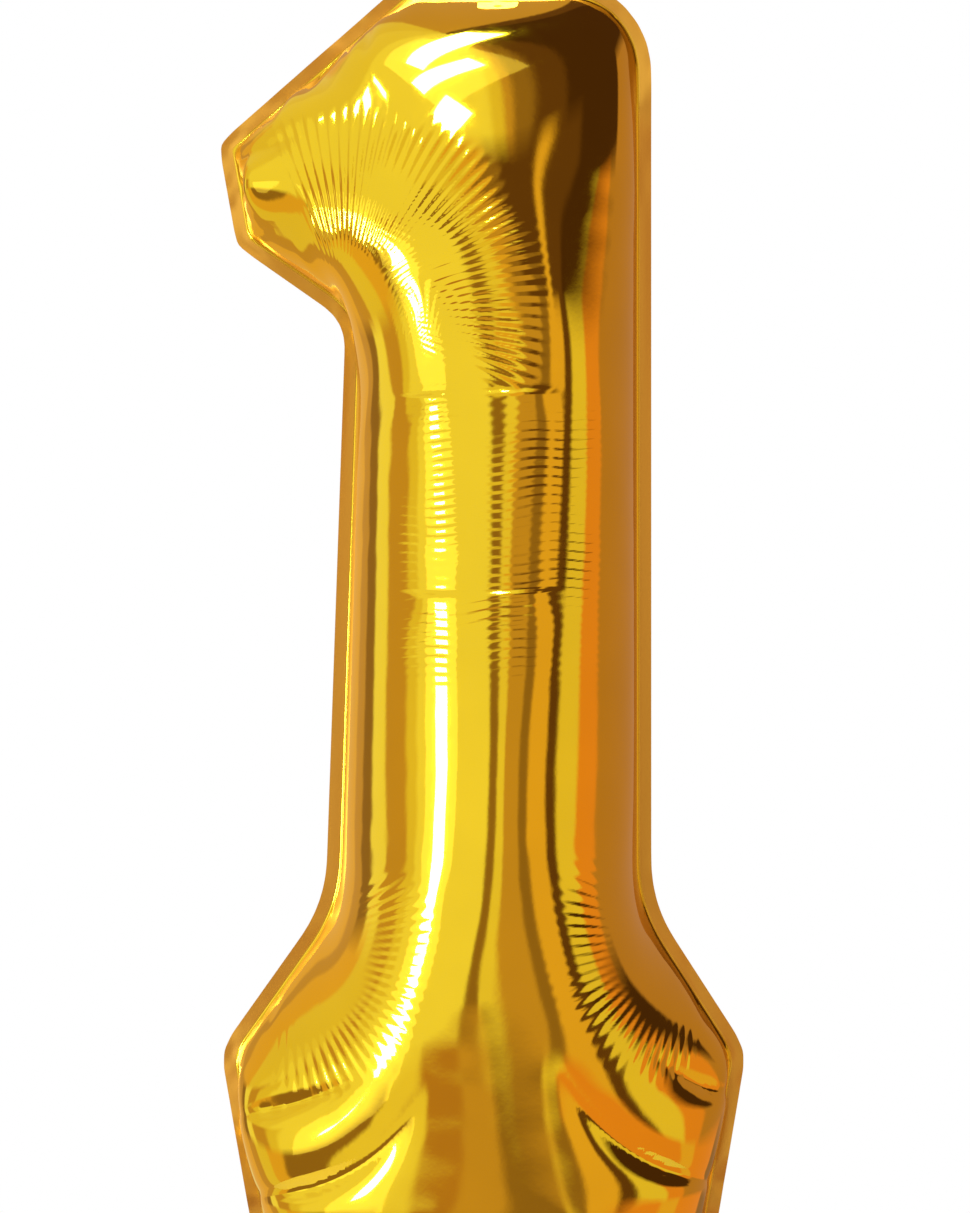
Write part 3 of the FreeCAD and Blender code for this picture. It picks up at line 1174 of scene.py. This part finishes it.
def metallised_film(settings):
    """Metallised polyester or nylon film with a yellow lacquer: a mirror in the lacquer's
    colour, under a clear gloss that gives white highlights, duller where the band is
    pressed."""
    material = bpy.data.materials.new("metallised_gold_film")
    tree = emptied(material)
    place = node(tree, "ShaderNodeTexCoord").outputs["Object"]
    band = node(tree, "ShaderNodeAttribute", attribute_name="band").outputs["Fac"]
    pressed = node(
        tree,
        "ShaderNodeMapRange",
        {"Value": band, "From Min": 0.02, "From Max": 0.2},
    ).outputs["Result"]
    # lacquer: its thickness drifts over about 60 mm
    drift = node(
        tree, "ShaderNodeTexNoise", {"Vector": place, "Scale": 1000 / 60, "Detail": 2.0}
    ).outputs["Fac"]
    lacquer = node(
        tree, "ShaderNodeValToRGB", {"Fac": drift}, shades(settings.gold, 0.94)
    ).outputs["Color"]
    tint = node(
        tree,
        "ShaderNodeMix",
        {0: pressed, 6: lacquer, 7: (*settings.gold_deep, 1)},
        data_type="RGBA",
    ).outputs[2]
    # handling marks: patches of about 9 mm where the mirror is a touch softer
    marks = node(
        tree, "ShaderNodeTexNoise", {"Vector": place, "Scale": 1000 / 9, "Detail": 3.0}
    ).outputs["Fac"]
    soft = node(
        tree,
        "ShaderNodeMapRange",
        {
            "Value": marks,
            "From Min": 0.3,
            "From Max": 0.7,
            "To Min": 0.035,
            "To Max": 0.075,
        },
    ).outputs["Result"]
    rough = node(tree, "ShaderNodeMix", {0: pressed, 2: soft, 3: 0.32}).outputs[0]
    haze = node(tree, "ShaderNodeMix", {0: pressed, 2: 0.04, 3: 0.28}).outputs[0]
    # heat-seal jaws: a fine grid, 1.2 mm apart, on the band only; elsewhere the film's
    # own 4 mm unevenness
    grid = node(
        tree, "ShaderNodeTexVoronoi", {"Vector": place, "Scale": 1000 / 1.2}
    ).outputs["Distance"]
    uneven = node(
        tree, "ShaderNodeTexNoise", {"Vector": place, "Scale": 1000 / 4, "Detail": 2.0}
    ).outputs["Fac"]
    relief = node(tree, "ShaderNodeMix", {0: pressed, 2: uneven, 3: grid}).outputs[0]
    bump = node(
        tree,
        "ShaderNodeBump",
        {"Height": relief, "Strength": 0.35, "Distance": 0.00004},
    ).outputs["Normal"]
    shader = node(
        tree,
        "ShaderNodeBsdfPrincipled",
        {
            "Base Color": tint,
            "Metallic": 1.0,
            "Roughness": rough,
            "Normal": bump,
            "Coat Weight": 1.0,
            "Coat Roughness": haze,
            "Coat IOR": 1.5,
        },
    )
    node(tree, "ShaderNodeOutputMaterial", {"Surface": shader.outputs["BSDF"]})
    return material


def valve_film(settings):
    """Clear polyethylene film, blown: hazy, faintly streaked, with a weak gloss."""
    material = bpy.data.materials.new("polyethylene_valve_film")
    tree = emptied(material)
    place = node(tree, "ShaderNodeTexCoord").outputs["Object"]
    stretched = node(
        tree, "ShaderNodeMapping", {"Vector": place, "Scale": (1.0, 1.0, 0.08)}
    ).outputs["Vector"]
    streaks = node(
        tree,
        "ShaderNodeTexNoise",
        {"Vector": stretched, "Scale": 1000 / 1.5, "Detail": 3.0},
    ).outputs["Fac"]
    rough = node(
        tree,
        "ShaderNodeMapRange",
        {"Value": streaks, "To Min": 0.28, "To Max": 0.5},
    ).outputs["Result"]
    tint = node(
        tree, "ShaderNodeValToRGB", {"Fac": streaks}, shades(settings.film, 0.9)
    ).outputs["Color"]
    shader = node(
        tree,
        "ShaderNodeBsdfPrincipled",
        {"Base Color": tint, "Roughness": rough, "IOR": 1.51, "Alpha": 0.45},
    )
    node(tree, "ShaderNodeOutputMaterial", {"Surface": shader.outputs["BSDF"]})
    return material


def painted_floor(settings):
    """Matt emulsion on a board: pale, with a faint unevenness."""
    material = bpy.data.materials.new("matt_floor")
    tree = emptied(material)
    place = node(tree, "ShaderNodeTexCoord").outputs["Object"]
    noise = node(
        tree, "ShaderNodeTexNoise", {"Vector": place, "Scale": 3.0, "Detail": 3.0}
    ).outputs["Fac"]
    tint = node(
        tree, "ShaderNodeValToRGB", {"Fac": noise}, shades(settings.floor, 0.97)
    ).outputs["Color"]
    shader = node(
        tree, "ShaderNodeBsdfPrincipled", {"Base Color": tint, "Roughness": 0.85}
    )
    node(tree, "ShaderNodeOutputMaterial", {"Surface": shader.outputs["BSDF"]})
    return material


# ---------------------------------------------------------------- stage

# What the film mirrors: a room of bright walls and dark furnishing, by height. Each
# entry is where a band ends, in degrees round the room with the camera at 0 and its
# right side above it, and the band's colour.
BRIGHT, PALE, GOLD, AMBER, ORANGE = "FFF6BE", "F4E4A6", "EEDA94", "ECBC78", "EC9A62"
TAN, RUST, BROWN, DARK, DEEP = "CEA278", "BE8A68", "98745C", "66443A", "4A2E26"
ROOM_TOP = (
    (-150, TAN), (-120, GOLD), (-60, PALE), (18, BRIGHT), (24, GOLD), (28, TAN),
    (36, BROWN), (48, DARK), (128, DEEP), (150, DARK), (180, TAN),
)
ROOM_HIGH = (
    (-150, TAN), (-128, AMBER), (-118, TAN), (-100, AMBER), (-80, GOLD), (-72, PALE),
    (-12, BRIGHT), (4, GOLD), (12, AMBER), (19, BROWN), (39, DARK), (44, AMBER),
    (57, DARK), (100, DEEP), (150, RUST), (180, BROWN),
)
ROOM_LEVEL = (
    (-130, AMBER), (-118, TAN), (-106, BROWN), (-92, BRIGHT), (-74, TAN), (-66, GOLD),
    (-8, BRIGHT), (1, BROWN), (10, PALE), (27, TAN), (36, BROWN), (52, AMBER),
    (60, DARK), (76, GOLD), (92, ORANGE), (180, RUST),
)
ROOM_LOW = (
    (-150, GOLD), (-118, AMBER), (-100, TAN), (-80, GOLD), (-64, AMBER), (-38, BROWN),
    (-26, PALE), (-8, RUST), (4, TAN), (24, BROWN), (34, GOLD), (72, ORANGE),
    (88, AMBER), (130, ORANGE), (180, BROWN),
)
# The rows above and below the one at eye level, and the heights of a direction, from -1
# to 1, over which each takes the last one's place
OTHER_ROWS = ((ROOM_HIGH, 0.13, 0.23), (ROOM_TOP, 0.48, 0.60), (ROOM_LOW, -0.15, -0.24))
ROOM_STRENGTH = 1.0
EDGE_SOFTNESS = 1.3

# Strips of light: name, both ends, width, what it is turned to, and its share of the
# lamps' brightness. The two weak wide ones are the glow round the others.
LAMP_BRIGHTNESS = 30.0
HEAD, FLAG, STEM = (-0.03, -0.05, -0.07), (-0.09, -0.05, -0.10), (-0.04, -0.08, -0.55)
LAMPS = (
    ("key_back", (-0.31, -0.75, 1.34), (0.12, -0.06, 1.52), 0.17, HEAD, 1.0),
    ("key_front", (-0.38, -1.02, 1.15), (0.16, -0.60, 1.40), 0.17, HEAD, 1.0),
    ("key_low", (-0.17, -1.34, 0.88), (0.05, -1.14, 1.08), 0.32, HEAD, 1.0),
    ("key_glow", (-0.42, -1.00, 1.12), (0.18, -0.42, 1.42), 0.85, HEAD, 0.014),
    ("side_high", (-1.06, -0.76, 0.94), (-0.94, -0.93, 0.92), 0.05, FLAG, 1.0),
    ("left_window", (-1.15, -1.07, -0.84), (-1.15, -1.07, -0.36), 0.22, STEM, 1.0),
    ("left_glow", (-1.15, -1.07, -1.10), (-1.15, -1.07, -0.10), 0.62, STEM, 0.014),
)
# What the camera looks at: X, and height above the bottom seam
VIEW_MIDDLE = (-0.0086, 0.4537)
SENSOR_WIDTH = 36.0
FLOOR_RADIUS = 1.1
# How far the floor is below the tail
FLOOR_DROP = 0.9


def banded(room):
    """Colour ramp stops for a row of bands, each edge a few degrees soft."""
    stops, start = [], -180.0
    for end, code in room:
        tint = linear(code)
        stops.append(((start + EDGE_SOFTNESS + 180) / 360, tint))
        stops.append(((end - EDGE_SOFTNESS + 180) / 360, tint))
        start = end
    return stops


def room_light(scene):
    """The world: white behind the object, and a warm room in reflections."""
    world = bpy.data.worlds.new("studio_room")
    scene.world = world
    tree = emptied(world)
    direction = node(tree, "ShaderNodeTexCoord").outputs["Generated"]
    parts = node(tree, "ShaderNodeSeparateXYZ", {"Vector": direction}).outputs
    forwards = node(
        tree, "ShaderNodeMath", {0: parts["Y"], 1: -1.0}, operation="MULTIPLY"
    ).outputs[0]
    angle = node(
        tree, "ShaderNodeMath", {0: parts["X"], 1: forwards}, operation="ARCTAN2"
    ).outputs[0]
    turn = node(
        tree,
        "ShaderNodeMapRange",
        {"Value": angle, "From Min": -math.pi, "From Max": math.pi},
    ).outputs["Result"]
    room = node(
        tree, "ShaderNodeValToRGB", {"Fac": turn}, banded(ROOM_LEVEL)
    ).outputs["Color"]
    for row, start, end in OTHER_ROWS:
        share = node(
            tree,
            "ShaderNodeMapRange",
            {"Value": parts["Z"], "From Min": start, "From Max": end},
        ).outputs["Result"]
        other = node(
            tree, "ShaderNodeValToRGB", {"Fac": turn}, banded(row)
        ).outputs["Color"]
        room = node(
            tree, "ShaderNodeMix", {0: share, 6: room, 7: other}, data_type="RGBA"
        ).outputs[2]
    mirrored = node(
        tree, "ShaderNodeBackground", {"Color": room, "Strength": ROOM_STRENGTH}
    ).outputs[0]
    plain = node(
        tree, "ShaderNodeBackground", {"Color": (1, 1, 1, 1), "Strength": 1.0}
    ).outputs[0]
    seen = node(tree, "ShaderNodeLightPath").outputs["Is Camera Ray"]
    both = node(tree, "ShaderNodeMixShader", {0: seen, 1: mirrored, 2: plain})
    node(tree, "ShaderNodeOutputWorld", {"Surface": both.outputs[0]})


def strip_light(name, start, end, width, aim, brightness):
    """A strip of one brightness between two points, turned to face a third."""
    start, end, aim = Vector(start), Vector(end), Vector(aim)
    middle, along = (start + end) / 2, end - start
    light = bpy.data.lights.new(name, "AREA")
    light.shape = "RECTANGLE"
    light.size, light.size_y = along.length, width
    light.energy = brightness * math.pi * along.length * width
    along.normalize()
    back = middle - aim
    back = (back - along * back.dot(along)).normalized()
    turn = Matrix((along, back.cross(along), back)).transposed()
    new_object(name, light).matrix_world = Matrix.Translation(middle) @ turn.to_4x4()


def make_stage(settings):
    """The floor, the room, the lamps and the camera."""
    scene = bpy.context.scene
    scene.view_settings.view_transform = "Standard"
    room_light(scene)
    level = Matrix.Translation((0, 0, CAD_BOX[0][2] - FLOOR_DROP))
    bm = bmesh.new()
    bmesh.ops.create_circle(
        bm, cap_ends=True, segments=96, radius=FLOOR_RADIUS, matrix=level
    )
    floor = finished(bm, "floor")
    floor.data.materials.append(painted_floor(settings))
    for name, start, end, width, aim, share in LAMPS:
        strip_light(name, start, end, width, aim, LAMP_BRIGHTNESS * share)
    camera = bpy.data.cameras.new("camera")
    camera.sensor_width = SENSOR_WIDTH
    camera.lens = camera.sensor_width * settings.camera_distance / settings.view_height
    eye = new_object("camera", camera)
    eye.location = (
        VIEW_MIDDLE[0], -settings.camera_distance, SEAM_FOOT + VIEW_MIDDLE[1]
    )
    eye.rotation_euler = (math.pi / 2, 0, 0)
    scene.camera = eye


# ---------------------------------------------------------------- operators


class BALLOON_OT_film(bpy.types.Operator):
    """Cut, seal and blow up the two sheets of gold film"""

    bl_idname = "balloon.film"
    bl_label = "Gold film"

    def execute(self, context):
        settings = context.scene.balloon_film
        pieces, size, area = make_film(settings)
        gold = metallised_film(settings)
        print(f"each sheet is cut to {size[0]:.3f} x {size[1]:.3f} m, {area:.4f} m2")
        for piece, node_name in zip(pieces, ("front_panel", "back_panel")):
            piece.data.materials.clear()
            piece.data.materials.append(gold)
            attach(piece, "balloon")
            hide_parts(node_name)
        return {"FINISHED"}


class BALLOON_OT_flaps(bpy.types.Operator):
    """Make the hanging tab and the inflation tail, and the creases they fold on"""

    bl_idname = "balloon.flaps"
    bl_label = "Tab and tail"

    def execute(self, context):
        gold = bpy.data.materials["metallised_gold_film"]
        lap, bend = CREASE_LAP * MM, BEND_LAP * MM
        tab_crease = make_crease(
            "tab_crease", TAB_HIGH.x, TAB_LOW.z + lap, PANEL_HIGH.z - lap
        )
        tail_crease = make_crease(
            "tail_crease", TAIL_HIGH.x, PANEL_LOW.z + lap, TAIL_HIGH.z - lap
        )
        parts = []
        for side, towards in (("front", -1), ("back", 1)):
            tab = make_tab_ply(f"tab_{side}_ply", towards)
            tail = make_tail_ply(f"tail_{side}_film", towards)
            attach(tab, "hanging_tab")
            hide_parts(f"hanging_tab_{side}_ply")
            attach(tail, "tail")
            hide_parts(f"tail_{side}_ply")
            parts += [tab, tail]
        for piece in parts + [tab_crease, tail_crease]:
            band = piece.data.attributes.new("band", "FLOAT", "POINT")
            pressed = 0.0 if piece.name.startswith("tail") else 1.0
            band.data.foreach_set("value", [pressed] * len(piece.data.vertices))
            piece.data.materials.append(gold)
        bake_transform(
            tab_crease,
            "hanging_tab",
            "balloon",
            (0, 0, TAB_LOW.z + bend),
            (0, 0, PANEL_HIGH.z - bend),
        )
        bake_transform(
            tail_crease,
            "balloon",
            "tail",
            (0, 0, PANEL_LOW.z + bend),
            (0, 0, TAIL_HIGH.z - bend),
        )
        return {"FINISHED"}


class BALLOON_OT_valve(bpy.types.Operator):
    """Give the flat valve inside the balloon its clear film"""

    bl_idname = "balloon.valve"
    bl_label = "Valve"

    def execute(self, context):
        film = valve_film(context.scene.balloon_valve)
        for name in ("valve_front_ply", "valve_back_ply"):
            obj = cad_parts[name]
            for slot in obj.material_slots:
                slot.material = film
        return {"FINISHED"}


class BALLOON_OT_stage(bpy.types.Operator):
    """Set up the floor, the lights and the camera"""

    bl_idname = "balloon.stage"
    bl_label = "Stage"

    def execute(self, context):
        make_stage(context.scene.balloon_stage)
        return {"FINISHED"}


STEPS = (BALLOON_OT_stage, BALLOON_OT_film, BALLOON_OT_flaps, BALLOON_OT_valve)


class BALLOON_PT_panel(bpy.types.Panel):
    """The balloon's steps and sizes"""

    bl_label = "Foil number balloon"
    bl_idname = "BALLOON_PT_panel"
    bl_space_type = "VIEW_3D"
    bl_region_type = "UI"
    bl_category = "Balloon"

    def draw(self, context):
        for step in STEPS:
            self.layout.operator(step.bl_idname)
        for name, _ in GROUPS:
            group = getattr(context.scene, name)
            for key in group.__annotations__:
                self.layout.prop(group, key)


GROUPS = (
    ("balloon_film", FilmSettings),
    ("balloon_valve", ValveSettings),
    ("balloon_stage", StageSettings),
)


def register():
    for name, group in GROUPS:
        bpy.utils.register_class(group)
        setattr(bpy.types.Scene, name, PointerProperty(type=group))
    for kind in (*STEPS, BALLOON_PT_panel):
        bpy.utils.register_class(kind)


def unregister():
    for kind in (BALLOON_PT_panel, *reversed(STEPS)):
        bpy.utils.unregister_class(kind)
    for name, group in reversed(GROUPS):
        delattr(bpy.types.Scene, name)
        bpy.utils.unregister_class(group)


def main():
    register()
    for step in STEPS:
        family, action = step.bl_idname.split(".")
        getattr(getattr(bpy.ops, family), action)()


if __name__ == "__main__":
    main()
